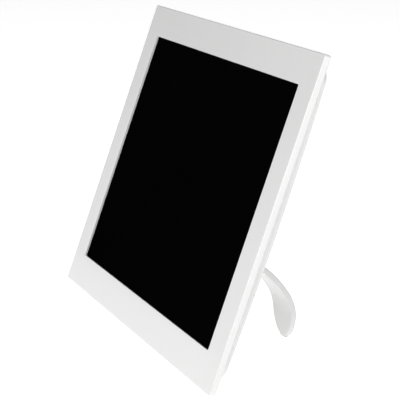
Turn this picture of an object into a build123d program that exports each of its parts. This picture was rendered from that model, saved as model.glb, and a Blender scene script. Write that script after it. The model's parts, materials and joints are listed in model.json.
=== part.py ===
"""Digital photo frame on a swivelling desk stand.

A glossy landscape bezel holds a 4:3 display. The crowned rear cover carries the electronics,
a row of keys and a curved leg whose hub swivels a quarter turn, for landscape or portrait.

Every flat piece is drawn on planes parallel to the front of the frame, which leans back.
On such a plane x runs across the frame and y runs up it from the bottom edge, and a piece's
depth is counted backwards from the front of the bezel. +Z is up and the floor is at z = 0.
Sizes are in millimetres and angles in degrees.
"""
import os
from math import cos, radians, sin

from build123d import *

os.makedirs("parts", exist_ok=True)

# ---------------------------------------------------------------- driving dimensions
lean = 20.3                      # how far the frame leans back

# front bezel
frame_width = 250.0
frame_height = 203.2
slab_depth = 4.4
front_wall = 2.2
lip_depth = 1.2                  # the front wall around the window, over the display
rim_wall = 1.8
corner_round = 1.3
front_edge_round = 0.6
rear_edge_round = 1.2
floor_land = 0.4                 # height taken off the bottom rear edge, to make it stand flat
window_width = 213.4
window_height = 160.9
window_bottom = 21.7
window_corner = 1.0
module_pocket_gap = 0.5         # around the display, in the bezel's pocket

# rear cover
cover_inset = 7.0
cover_corner = 9.0
cover_wall = 2.0
crown_depth = 18.0               # deepest point of the crowned back
crown_radius_across = 1270.0
crown_radius_up = 2240.0
crown_edge_round = 2.6
crown_half_swing = 8.0           # half the angle that the crown is revolved through
flange_depth = 2.0
flange_gap = 0.3
flange_drop = 0.2                # the flange sits this much inside the bezel's rim
joint_gap = 0.3                  # between moving pieces that don't bear on each other

# raised electronics housing on the rear cover
housing_left = -95.0
housing_right = -5.0
housing_bottom = 55.0
housing_top = 150.0
housing_depth = 24.0
housing_corner = 6.0
housing_edge_round = 2.5

# stand
hub_x = 46.3
hub_y = frame_width / 2 - hub_x  # as far from the bottom edge as from the right-hand edge
hub_radius = 17.0
hub_depth = 5.0
seat_depth = 15.4
seat_floor = 2.0
stem_radius = 7.0
stem_clearance = 0.05
seat_ring = 3.0                  # wall around the hub's seat, inside the cover
washer_radius = 11.0
retainer_depth = 1.2
spring_depth = 0.6
leg_tenon_inset = 2.0            # the tenon is this much narrower on each side than the leg
leg_width = 27.4
leg_thickness = 3.5
leg_top = 75.2                   # height of the leg's outer face where it leaves the hub
leg_sweep_radius = 86.0
leg_sweep_angle = 36.3
leg_bend_radius = 32.4
leg_bend_angle = 33.9
leg_tip_length = 18.7            # length of the tongue's half-elliptical end
leg_edge_round = 1.0
foot_width = 7.0
foot_thickness = 2.0
foot_height = 3.0
foot_reach = 0.3                 # how far the rubber foot stands out of the leg's tip

# display module
module_width = 228.0
module_height = 172.0
module_depth = 5.4
sheet_metal = 0.25
cell_width = 221.5
cell_height = 168.0
cell_depth = 1.1
stack_width = 216.4              # diffuser, light guide and reflector
stack_height = 163.4
led_count = 24

# keys
key_names = ["power", "menu", "previous", "next", "select", "back"]
key_pitch = 18.0
key_row_y = 180.0
key_width = 11.0
key_height = 6.5
key_travel = 0.4
key_panel_depth = 14.6
key_panel_wall = 1.7
key_panel_margin = 4.0           # beyond the outer keys
key_proud = 1.2                  # how far a key stands out of its sunk panel
key_flange_margin = 1.5          # the key's inner flange, past its cap on each side
key_flange_corner = 2.0
key_edge_round = 0.5

# boards and fasteners
board_thickness = 1.4
board_depth = 13.4               # front face of the main board
screw_radius = 1.3
screw_head_radius = 2.4
screw_head_depth = 1.6
screw_edge_round = 0.5
recess_length = 2.6              # cross recess in the screw heads
recess_width = 0.6
recess_depth = 0.9
board_hole_gap = 0.2             # screw clearance in boards and brackets
cover_hole_gap = 0.3             # screw clearance in the cover, and around the screw heads

# speaker grille and cooling slots
grille_hole = 0.9
grille_rings = ((3.6, 6), (7.2, 12), (10.8, 18))
slot_count = 9
slot_pitch = 7.0
slot_length = 10.0
slot_width = 2.2
slot_rise = 11.0                 # from the housing's top edge to the middle of the slots

# ---------------------------------------------------------------- working frame
across = Vector(1, 0, 0)
forward = Vector(0, -cos(radians(lean)), sin(radians(lean)))
backward = forward * -1
up_face = Vector(0, sin(radians(lean)), cos(radians(lean)))


def reach_back(depth, height):
    """How far behind the front bottom edge a point of the frame lies, along the floor."""
    return height * sin(radians(lean)) + depth * cos(radians(lean))


# the leg's two arcs are tangent, so their centres and the turning point are in line
leg_start_depth = seat_depth + 1
bend_offset = leg_sweep_radius - leg_bend_radius
bend_centre_depth = leg_start_depth + bend_offset * sin(radians(leg_sweep_angle))
bend_centre_height = leg_top - leg_sweep_radius + bend_offset * cos(radians(leg_sweep_angle))
rearmost = reach_back(bend_centre_depth, bend_centre_height) + leg_bend_radius
foremost = reach_back(front_edge_round, front_edge_round) - front_edge_round

face_y = -(foremost + rearmost) / 2
face_z = slab_depth * sin(radians(lean)) - floor_land
face = Plane(origin=(0, face_y, face_z), x_dir=across, z_dir=forward)
depth_axis = Axis(face.origin, backward)


def layer(depth):
    """The plane parallel to the front, at a depth behind it. Its normal points forward."""
    return face.offset(-depth)


def section(x):
    """The plane across the frame at x. On it x is depth and y is height up the frame."""
    return Plane(origin=face.from_local_coords((x, 0, 0)), x_dir=backward, z_dir=across)


def finish(piece, name):
    """Label a finished piece and write it."""
    piece.label = name
    export_step(piece, f"parts/{name}.step")


window_centre = window_bottom + window_height / 2
frame_centre = frame_height / 2
cover_width = frame_width - 2 * cover_inset
cover_height = frame_height - 2 * cover_inset
cover_front = slab_depth - flange_depth - flange_drop
module_back = lip_depth + module_depth
bracket_depth = 0.8
board_back = board_depth + board_thickness

cover_screw_x = 100.0
bracket_screw_x = 60.0
screw_row_low = 12.3
screw_row_high = 191.2
boss_radius = 2.8
screw_rows = (screw_row_low, screw_row_high)
cover_screw_spots = [(x, y) for x in (-cover_screw_x, cover_screw_x) for y in screw_rows]
bracket_screw_spots = [(x, y) for x in (-bracket_screw_x, bracket_screw_x) for y in screw_rows]
cover_boss_front = 7.2
cover_boss_floor = 2.0

board_left = -90.0
board_right = -12.0
board_bottom = 60.0
board_top = 145.0
board_inset = 5.0
board_screw_spots = [
    (x, y)
    for x in (board_left + board_inset, board_right - board_inset)
    for y in (board_bottom + board_inset, board_top - board_inset)
]

# connectors on the main board, all facing the left-hand side of the frame
socket_face_x = housing_left + cover_wall + 0.2
jack_y = 74.5
jack_width = 9.0
jack_length = 14.0
jack_height = 6.2
jack_bore = 3.1
usb_y = 91.0
usb_width = 7.8
usb_length = 9.0
usb_height = 3.9
card_y = 117.0
card_width = 28.0
card_length = 29.0
card_height = 2.9

speaker_x = 80.0
speaker_y = 130.0
speaker_radius = 14.0
speaker_front = 11.9

key_spots = [((i - (len(key_names) - 1) / 2) * key_pitch, key_row_y) for i in range(len(key_names))]
key_panel_width = key_pitch * len(key_names) + 2 * key_panel_margin
key_panel_height = 13.0
key_flange_back = key_panel_depth - key_panel_wall - joint_gap
key_flange_depth = 1.1
key_board_depth = 7.9
key_board_thickness = 1.2
key_board_back = key_board_depth + key_board_thickness
key_board_width = 126.0
key_board_bottom = 171.5
key_board_top = 187.5
key_board_screw_spots = [(-57.5, 175.5), (57.5, 175.5)]
switch_size = 6.0
switch_depth = 1.8
plunger_radius = 1.6

# ---------------------------------------------------------------- front bezel
with BuildPart() as front_bezel:
    with BuildSketch(layer(0)):
        with Locations((0, frame_centre)):
            RectangleRounded(frame_width, frame_height, corner_round)
    extrude(amount=-slab_depth)
    fillet(front_bezel.edges().group_by(depth_axis)[0], front_edge_round)
    fillet(front_bezel.edges().group_by(depth_axis)[-1], rear_edge_round)
    with BuildSketch(layer(slab_depth)):
        with Locations((0, frame_centre)):
            RectangleRounded(frame_width - 2 * rim_wall, frame_height - 2 * rim_wall, corner_round / 2)
    extrude(amount=slab_depth - front_wall, mode=Mode.SUBTRACT)
    with BuildSketch(layer(front_wall)):
        with Locations((0, window_centre)):
            RectangleRounded(module_width + 2 * module_pocket_gap, module_height + 2 * module_pocket_gap, 1)
    extrude(amount=front_wall - lip_depth, mode=Mode.SUBTRACT)
    with BuildSketch(layer(lip_depth)):
        with Locations((0, window_centre)):
            RectangleRounded(window_width, window_height, window_corner)
    extrude(amount=lip_depth, mode=Mode.SUBTRACT)
    # bosses for the cover screws and for the display brackets
    with BuildSketch(layer(front_wall)):
        with Locations(*cover_screw_spots, *bracket_screw_spots):
            Circle(boss_radius)
    extrude(amount=front_wall - module_back)
    with BuildSketch(layer(module_back)):
        with Locations(*cover_screw_spots, *bracket_screw_spots):
            Circle(screw_radius)
    extrude(amount=module_back - front_wall, mode=Mode.SUBTRACT)
    # the bottom rear edge is planed off level with the floor
    with BuildSketch(Plane.XY):
        Rectangle(2 * frame_width, 2 * frame_height)
    extrude(amount=-slab_depth, mode=Mode.SUBTRACT)
finish(front_bezel.part, "front_bezel")


# ---------------------------------------------------------------- rear cover
def crowned_block(inset):
    """The cover's rounded block under its crowned back, with every face drawn in by inset."""
    axis_depth = crown_depth - crown_radius_across
    turn_axis = Axis(face.from_local_coords((0, 0, -axis_depth)), up_face)
    swing_dir = backward * cos(radians(crown_half_swing)) + across * sin(radians(crown_half_swing))
    swing_plane = Plane(origin=turn_axis.position, x_dir=swing_dir, z_dir=swing_dir.cross(up_face))
    top = crown_radius_across - inset
    low = cover_front - 1 - axis_depth
    half_height = cover_height
    fall = half_height**2 / (2 * crown_radius_up)
    with BuildPart() as block:
        with BuildSketch(layer(cover_front)):
            with Locations((0, frame_centre)):
                RectangleRounded(cover_width - 2 * inset, cover_height - 2 * inset, cover_corner - inset)
        extrude(amount=-crown_depth)
        with BuildSketch(swing_plane):
            with BuildLine():
                ThreePointArc(
                    (top - fall, frame_centre - half_height),
                    (top, frame_centre),
                    (top - fall, frame_centre + half_height),
                )
                Polyline(
                    (top - fall, frame_centre + half_height),
                    (low, frame_centre + half_height),
                    (low, frame_centre - half_height),
                    (top - fall, frame_centre - half_height),
                )
            make_face()
        revolve(axis=turn_axis, revolution_arc=2 * crown_half_swing, mode=Mode.INTERSECT)
        crown = block.faces().sort_by(depth_axis)[-1]
        fillet(crown.edges(), crown_edge_round - inset / 2)
    return block.part


def housing_block(inset):
    """The raised electronics housing, with every face drawn in by inset."""
    with BuildPart() as block:
        with BuildSketch(layer(crown_depth / 2)):
            with Locations(((housing_left + housing_right) / 2, (housing_bottom + housing_top) / 2)):
                RectangleRounded(
                    housing_right - housing_left - 2 * inset,
                    housing_top - housing_bottom - 2 * inset,
                    housing_corner - inset,
                )
        extrude(amount=crown_depth / 2 - housing_depth + inset)
        fillet(block.edges().group_by(depth_axis)[-1], housing_edge_round - 0.8 * inset)
    return block.part


with BuildPart() as rear_cover:
    with BuildSketch(layer(cover_front)):
        with Locations((0, frame_centre)):
            RectangleRounded(
                frame_width - 2 * (rim_wall + flange_gap),
                frame_height - 2 * (rim_wall + flange_gap),
                corner_round / 2,
            )
    extrude(amount=-flange_depth)
    add(crowned_block(0))
    add(housing_block(0))
    add(crowned_block(cover_wall), mode=Mode.SUBTRACT)
    add(housing_block(cover_wall), mode=Mode.SUBTRACT)
    # round flat seat for the stand's hub, with its bore
    with BuildSketch(layer(seat_depth - seat_floor)):
        with Locations((hub_x, hub_y)):
            Circle(hub_radius + seat_ring)
    extrude(amount=-seat_floor)
    with BuildSketch(layer(seat_depth)):
        with Locations((hub_x, hub_y)):
            Circle(hub_radius + 2 * joint_gap)
    extrude(amount=-crown_depth, mode=Mode.SUBTRACT)
    with BuildSketch(layer(seat_depth - seat_floor)):
        with Locations((hub_x, hub_y)):
            Circle(stem_radius + stem_clearance)
    extrude(amount=-seat_floor, mode=Mode.SUBTRACT)
    # sunk key panel near the top, with one opening for each key
    with BuildSketch(layer(key_panel_depth - key_panel_wall)):
        with Locations((0, key_row_y)):
            SlotOverall(key_panel_width + 4, key_panel_height + 4)
    extrude(amount=-key_panel_wall)
    with BuildSketch(layer(key_panel_depth)):
        with Locations((0, key_row_y)):
            SlotOverall(key_panel_width, key_panel_height)
    extrude(amount=-key_panel_wall * 2, mode=Mode.SUBTRACT)
    with BuildSketch(layer(key_panel_depth)):
        with Locations(*key_spots):
            RectangleRounded(key_width + 2 * joint_gap, key_height + 2 * joint_gap, key_height / 3)
    extrude(amount=key_panel_wall, mode=Mode.SUBTRACT)
    # screw towers at the corners, each with a sunk head pocket
    with BuildSketch(layer(cover_boss_front)):
        with Locations(*cover_screw_spots):
            Circle(boss_radius + 0.8)
    extrude(amount=-(cover_boss_floor + screw_head_depth))
    with BuildSketch(layer(cover_boss_front + cover_boss_floor)):
        with Locations(*cover_screw_spots):
            Circle(screw_head_radius + cover_hole_gap)
    extrude(amount=-crown_depth, mode=Mode.SUBTRACT)
    with BuildSketch(layer(cover_boss_front)):
        with Locations(*cover_screw_spots):
            Circle(screw_radius + cover_hole_gap)
    extrude(amount=-cover_boss_floor, mode=Mode.SUBTRACT)
    # posts for the main board and for the key board, with pilot holes
    with BuildSketch(layer(board_back)):
        with Locations(*board_screw_spots):
            Circle(boss_radius)
    extrude(amount=board_back - housing_depth + cover_wall)
    with BuildSketch(layer(board_back)):
        with Locations(*board_screw_spots):
            Circle(screw_radius)
    extrude(amount=-boss_radius * 1.5, mode=Mode.SUBTRACT)
    with BuildSketch(layer(key_board_back)):
        with Locations(*key_board_screw_spots):
            Circle(boss_radius)
    extrude(amount=key_board_back - key_panel_depth + key_panel_wall)
    with BuildSketch(layer(key_board_back)):
        with Locations(*key_board_screw_spots):
            Circle(screw_radius)
    extrude(amount=-boss_radius, mode=Mode.SUBTRACT)
    # connector openings in the housing's left-hand wall
    with BuildSketch(section(housing_left - 1)):
        with Locations((board_back + jack_height / 2 + 0.2, jack_y)):
            Circle(jack_bore + 1.2)
        with Locations((board_back + usb_height / 2, usb_y)):
            RectangleRounded(usb_height + 1.2, usb_width + 1.6, 1)
        with Locations((board_back + card_height / 2, card_y)):
            RectangleRounded(card_height + 0.4, card_width - 1.6, 1)
    extrude(amount=cover_wall + 1.1, mode=Mode.SUBTRACT)
    # speaker grille and cooling slots
    with BuildSketch(layer(speaker_front - 2)):
        with Locations((speaker_x, speaker_y)):
            Circle(grille_hole)
            for ring, holes in grille_rings:
                with PolarLocations(ring, holes):
                    Circle(grille_hole)
    extrude(amount=-crown_depth, mode=Mode.SUBTRACT)
    with BuildSketch(layer(crown_depth / 2)):
        with Locations(((housing_left + housing_right) / 2, housing_top + slot_rise)):
            with GridLocations(slot_pitch, 1, slot_count, 1):
                SlotOverall(slot_length, slot_width, rotation=90)
    extrude(amount=-crown_depth, mode=Mode.SUBTRACT)
finish(rear_cover.part, "rear_cover")


# ---------------------------------------------------------------- display module
def plate(name, depth, thickness, width, height, centre, corner=0.5):
    """A flat rectangular piece with rounded corners."""
    with BuildPart() as piece:
        with BuildSketch(layer(depth)):
            with Locations(centre):
                RectangleRounded(width, height, corner)
        extrude(amount=-thickness)
    finish(piece.part, name)
    return piece.part


module_centre = (0, window_centre)
with BuildPart() as lcd_metal_frame:
    with BuildSketch(layer(lip_depth)):
        with Locations(module_centre):
            RectangleRounded(module_width, module_height, 1)
    extrude(amount=-module_depth)
    with BuildSketch(layer(module_back)):
        with Locations(module_centre):
            RectangleRounded(module_width - 2 * sheet_metal, module_height - 2 * sheet_metal, 1 - sheet_metal)
    extrude(amount=module_depth - sheet_metal, mode=Mode.SUBTRACT)
    with BuildSketch(layer(lip_depth)):
        with Locations(module_centre):
            Rectangle(window_width + 2, window_height + 2)
    extrude(amount=-sheet_metal, mode=Mode.SUBTRACT)
finish(lcd_metal_frame.part, "lcd_metal_frame")

cell_front = lip_depth + sheet_metal
cell_back = cell_front + cell_depth
plate("lcd_glass", cell_front, cell_depth, cell_width, cell_height, module_centre)

back_plate_depth = 0.4
mould_front = cell_back + 0.05
mould_back = module_back - back_plate_depth
inner_width = module_width - 2 * sheet_metal - 0.2
inner_height = module_height - 2 * sheet_metal - 0.2
with BuildPart() as lcd_mould_frame:
    with BuildSketch(layer(mould_front)):
        with Locations(module_centre):
            RectangleRounded(inner_width, inner_height, 0.5)
            Rectangle(stack_width + 0.6, stack_height + 0.6, mode=Mode.SUBTRACT)
    extrude(amount=mould_front - mould_back)
finish(lcd_mould_frame.part, "lcd_mould_frame")

diffuser_depth = 0.4
guide_front = mould_front + 0.05 + diffuser_depth + 0.05
guide_depth = 2.6
reflector_front = guide_front + guide_depth + 0.05
plate("diffuser_sheets", mould_front + 0.05, diffuser_depth, stack_width, stack_height, module_centre)
plate("reflector_sheet", reflector_front, 0.2, stack_width, stack_height, module_centre)
plate("lcd_back_plate", mould_back, back_plate_depth, inner_width, inner_height, module_centre)

strip_thickness = 0.8
led_depth = 0.8
stack_bottom = window_centre - stack_height / 2
strip_bottom = stack_bottom + 0.1
led_bottom = strip_bottom + strip_thickness
guide_bottom = led_bottom + led_depth + 0.1
guide_height = stack_bottom + stack_height - guide_bottom
guide_centre = (0, guide_bottom + guide_height / 2)
plate("light_guide", guide_front, guide_depth, stack_width - 0.4, guide_height, guide_centre)
strip_centre = (0, strip_bottom + strip_thickness / 2)
plate("led_strip", guide_front, guide_depth, stack_width - 6, strip_thickness, strip_centre, 0.1)
with BuildPart() as led_chips:
    with BuildSketch(layer(guide_front + 0.5)):
        with Locations((0, led_bottom + led_depth / 2)):
            with GridLocations((stack_width - 12) / led_count, 1, led_count, 1):
                Rectangle(3.2, led_depth)
    extrude(amount=-(guide_depth - 1))
finish(led_chips.part, "led_chips")

driver_board_height = 15.0
driver_board_y = 34.0
plate("lcd_driver_board", module_back, 0.8, 150.0, driver_board_height, (0, driver_board_y))


# ---------------------------------------------------------------- display brackets
def bracket(name, low, high, screw_y):
    """A steel strap across the back of the display, with a clearance hole at each end."""
    with BuildPart() as strap:
        with BuildSketch(layer(module_back)):
            with Locations((0, (low + high) / 2)):
                RectangleRounded(2 * bracket_screw_x + 12, high - low, 1.5)
            with Locations((-bracket_screw_x, screw_y), (bracket_screw_x, screw_y)):
                Circle(screw_radius + board_hole_gap, mode=Mode.SUBTRACT)
        extrude(amount=-bracket_depth)
    finish(strap.part, name)


bracket("display_bracket_bottom", screw_row_low - 2.6, 24.0, screw_row_low)
bracket("display_bracket_top", 181.0, screw_row_high + 2.9, screw_row_high)


# ---------------------------------------------------------------- main board
with BuildPart() as main_board:
    with BuildSketch(layer(board_depth)):
        with Locations(((board_left + board_right) / 2, (board_bottom + board_top) / 2)):
            RectangleRounded(board_right - board_left, board_top - board_bottom, 2)
        with Locations(*board_screw_spots):
            Circle(screw_radius + board_hole_gap, mode=Mode.SUBTRACT)
    extrude(amount=-board_thickness)
finish(main_board.part, "main_board")

plate("processor_chip", board_back, 1.6, 20, 20, (-42, 96), 0.4)
with BuildPart() as memory_chips:
    with BuildSketch(layer(board_back)):
        with Locations((-42, 116), (-42, 128)):
            Rectangle(18.4, 8)
    extrude(amount=-1.1)
finish(memory_chips.part, "memory_chips")

with BuildPart() as capacitors:
    with BuildSketch(layer(board_back)):
        with Locations((-70, 68), (-62, 68), (-54, 68), (-24, 80)):
            Circle(3.1)
    extrude(amount=-5.4)
    fillet(capacitors.edges().group_by(depth_axis)[-1], 0.5)
finish(capacitors.part, "capacitors")

with BuildPart() as power_inductor:
    with BuildSketch(layer(board_back)):
        with Locations((-66, 82)):
            RectangleRounded(7, 7, 1)
    extrude(amount=-3)
finish(power_inductor.part, "power_inductor")

jack_centre = board_back + jack_height / 2 + 0.2
with BuildPart() as dc_jack:
    with BuildSketch(section(socket_face_x)):
        with Locations((board_back + (jack_height + 0.4) / 2, jack_y)):
            RectangleRounded(jack_height + 0.4, jack_width, 1)
    extrude(amount=jack_length)
    with BuildSketch(section(socket_face_x)):
        with Locations((jack_centre, jack_y)):
            Circle(jack_bore)
            Circle(1, mode=Mode.SUBTRACT)
    extrude(amount=jack_length - 4, mode=Mode.SUBTRACT)
finish(dc_jack.part, "dc_jack")

with BuildPart() as usb_socket:
    with BuildSketch(section(socket_face_x)):
        with Locations((board_back + usb_height / 2, usb_y)):
            RectangleRounded(usb_height, usb_width, 0.6)
    extrude(amount=usb_length)
    with BuildSketch(section(socket_face_x)):
        with Locations((board_back + usb_height / 2, usb_y)):
            RectangleRounded(usb_height - 0.8, usb_width - 0.8, 0.4)
            Rectangle(0.9, usb_width - 2.4, mode=Mode.SUBTRACT)
    extrude(amount=usb_length - 1.5, mode=Mode.SUBTRACT)
finish(usb_socket.part, "usb_socket")

with BuildPart() as card_socket:
    with BuildSketch(section(socket_face_x)):
        with Locations((board_back + card_height / 2, card_y)):
            RectangleRounded(card_height, card_width, 0.4)
    extrude(amount=card_length)
    with BuildSketch(section(socket_face_x)):
        with Locations((board_back + card_height / 2, card_y)):
            Rectangle(card_height - 0.6, card_width - 3.2)
    extrude(amount=card_length - 3, mode=Mode.SUBTRACT)
finish(card_socket.part, "card_socket")

flex_connector_depth = 1.2
flex_x = -50.0
flex_connector_y = 74.0
flex_connector_front = board_depth - flex_connector_depth
plate("flex_connector", flex_connector_front, flex_connector_depth, 24, 5, (flex_x, flex_connector_y), 0.4)

flex_thickness = 0.2
flex_start = module_back + 0.8 + flex_thickness / 2
flex_end = board_depth - flex_connector_depth / 2
flex_top = flex_connector_y - 2.5
with BuildPart() as lcd_flex_cable:
    with BuildSketch(section(flex_x - 10)):
        with BuildLine():
            FilletPolyline(
                (flex_start, driver_board_y),
                (flex_start, flex_top - 15),
                (flex_end, flex_top - 8),
                (flex_end, flex_top),
                radius=2.5,
            )
        trace(line_width=flex_thickness)
    extrude(amount=20)
finish(lcd_flex_cable.part, "lcd_flex_cable")

# ---------------------------------------------------------------- keys and key board
with BuildPart() as key_board:
    with BuildSketch(layer(key_board_depth)):
        with Locations((0, (key_board_bottom + key_board_top) / 2)):
            RectangleRounded(key_board_width, key_board_top - key_board_bottom, 1.5)
        with Locations(*key_board_screw_spots):
            Circle(screw_radius + board_hole_gap, mode=Mode.SUBTRACT)
    extrude(amount=-key_board_thickness)
finish(key_board.part, "key_board")

plunger_back = key_flange_back - key_flange_depth
plunger_front = key_board_back + key_travel + 0.4
with BuildPart() as key_switches:
    with BuildSketch(layer(key_board_back)):
        with Locations(*key_spots):
            RectangleRounded(switch_size, switch_size, 0.5)
    extrude(amount=-switch_depth)
    with BuildSketch(layer(key_board_back + 0.3)):
        with Locations(*key_spots):
            Circle(plunger_radius + 0.1)
    extrude(amount=-switch_depth, mode=Mode.SUBTRACT)
finish(key_switches.part, "key_switches")

for key_name, spot in zip(key_names, key_spots):
    with BuildPart() as key_cap:
        with BuildSketch(layer(plunger_back)):
            with Locations(spot):
                RectangleRounded(
                    key_width + 2 * key_flange_margin,
                    key_height + 2 * key_flange_margin,
                    key_flange_corner,
                )
        extrude(amount=-key_flange_depth)
        with BuildSketch(layer(key_flange_back)):
            with Locations(spot):
                RectangleRounded(key_width, key_height, key_height / 3)
        extrude(amount=key_flange_back - key_panel_depth - key_proud)
        fillet(key_cap.edges().group_by(depth_axis)[-1], key_edge_round)
    finish(key_cap.part, f"key_{key_name}")
    with BuildPart() as plunger:
        with BuildSketch(layer(plunger_front)):
            with Locations(spot):
                Circle(plunger_radius)
        extrude(amount=plunger_front - plunger_back)
    finish(plunger.part, f"switch_plunger_{key_name}")

# ribbon cable from the key board down to the main board
ribbon_x = -30.0
ribbon_end = board_depth - 0.4
with BuildPart() as key_cable:
    with BuildSketch(section(ribbon_x - 4)):
        with BuildLine():
            FilletPolyline(
                (key_board_depth - 0.2, key_board_bottom + 6),
                (key_board_depth - 0.2, key_board_bottom - 10),
                (ribbon_end, board_top + 2),
                (ribbon_end, board_top - 8),
                radius=3,
            )
        trace(line_width=0.4)
    extrude(amount=8)
finish(key_cable.part, "key_cable")

# ---------------------------------------------------------------- speaker
with BuildPart() as speaker_basket:
    with BuildSketch(layer(speaker_front)):
        with Locations((speaker_x, speaker_y)):
            Circle(speaker_radius)
            Circle(speaker_radius - 1.6, mode=Mode.SUBTRACT)
    extrude(amount=3.6)
    with BuildSketch(layer(speaker_front - 3.6)):
        with Locations((speaker_x, speaker_y)):
            Circle(speaker_radius)
            Circle(6, mode=Mode.SUBTRACT)
    extrude(amount=-0.6)
finish(speaker_basket.part, "speaker_basket")

with BuildPart() as speaker_magnet:
    with BuildSketch(layer(speaker_front - 3.6)):
        with Locations((speaker_x, speaker_y)):
            Circle(8.5)
    extrude(amount=1.2)
finish(speaker_magnet.part, "speaker_magnet")

with BuildPart() as speaker_cone:
    with BuildSketch(layer(speaker_front - 0.4)):
        with Locations((speaker_x, speaker_y)):
            Circle(speaker_radius - 1.7)
    extrude(amount=0.5)
    with BuildSketch(layer(speaker_front - 0.4)):
        with Locations((speaker_x, speaker_y)):
            Circle(4)
    extrude(amount=-0.3)
finish(speaker_cone.part, "speaker_cone")

lead_radius = 0.5
lead_depth = 8.4
lead_points = [(speaker_x - speaker_radius - 0.6, speaker_y), (50, 128), (18, 121), (-6, 117)]
with BuildPart() as speaker_leads:
    for lead_shift in (-0.6, 0.6):
        with BuildLine(layer(lead_depth)) as lead_path:
            FilletPolyline([(x, y + lead_shift) for x, y in lead_points], radius=14)
        with BuildSketch(Plane(origin=lead_path.line @ 0, z_dir=lead_path.line % 0)):
            Circle(lead_radius)
        sweep(path=lead_path.line)
finish(speaker_leads.part, "speaker_leads")


# ---------------------------------------------------------------- screws
def screws(name, spots, head_front, length, from_behind):
    """A group of identical pan-head screws with cross recesses.

    The shank leaves the head backwards, or forwards when the screw is driven from behind.
    """
    reach = 1 if from_behind else -1
    seat = head_front + (0 if from_behind else screw_head_depth)
    outer = head_front + (screw_head_depth if from_behind else 0)
    with BuildPart() as group:
        with BuildSketch(layer(head_front)):
            with Locations(*spots):
                Circle(screw_head_radius)
        extrude(amount=-screw_head_depth)
        fillet(group.edges().group_by(depth_axis)[-1 if from_behind else 0], screw_edge_round)
        with BuildSketch(layer(seat)):
            with Locations(*spots):
                Circle(screw_radius)
        extrude(amount=reach * length)
        with BuildSketch(layer(outer)):
            with Locations(*spots):
                Rectangle(recess_length, recess_width)
                Rectangle(recess_width, recess_length)
        extrude(amount=reach * recess_depth, mode=Mode.SUBTRACT)
    finish(group.part, name)


screws("cover_screws", cover_screw_spots, cover_boss_front + cover_boss_floor, 5.5, True)
screws("bracket_screws", bracket_screw_spots, module_back + bracket_depth, 4, True)
screws("main_board_screws", board_screw_spots, board_depth - screw_head_depth, 5, False)

key_screw_head = 1.0
with BuildPart() as key_board_screws:
    with BuildSketch(layer(key_board_depth - key_screw_head)):
        with Locations(*key_board_screw_spots):
            Circle(2.2)
    extrude(amount=-key_screw_head)
    with BuildSketch(layer(key_board_depth)):
        with Locations(*key_board_screw_spots):
            Circle(screw_radius)
    extrude(amount=-3.5)
finish(key_board_screws.part, "key_board_screws")

# ---------------------------------------------------------------- stand
hub_back = seat_depth + joint_gap / 3 + hub_depth
hub_front = hub_back - hub_depth
stem_end = seat_depth - seat_floor - 0.8
socket_bottom = hub_front + 1
root_height = leg_top - leg_thickness / 2
with BuildPart() as stand_hub:
    with BuildSketch(layer(hub_front)):
        with Locations((hub_x, hub_y)):
            Circle(hub_radius)
    extrude(amount=-hub_depth)
    fillet(stand_hub.edges().group_by(depth_axis)[-1], 1.8)
    with BuildSketch(layer(hub_front)):
        with Locations((hub_x, hub_y)):
            Circle(stem_radius)
    extrude(amount=hub_front - stem_end)
    with BuildSketch(layer(socket_bottom)):
        with Locations((hub_x, root_height)):
            Rectangle(leg_width - 2 * leg_tenon_inset, leg_thickness)
    extrude(amount=-hub_depth, mode=Mode.SUBTRACT)
    with BuildSketch(layer(stem_end)):
        with Locations((hub_x, hub_y)):
            Circle(screw_radius)
    extrude(amount=-3, mode=Mode.SUBTRACT)
finish(stand_hub.part, "stand_hub")

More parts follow.
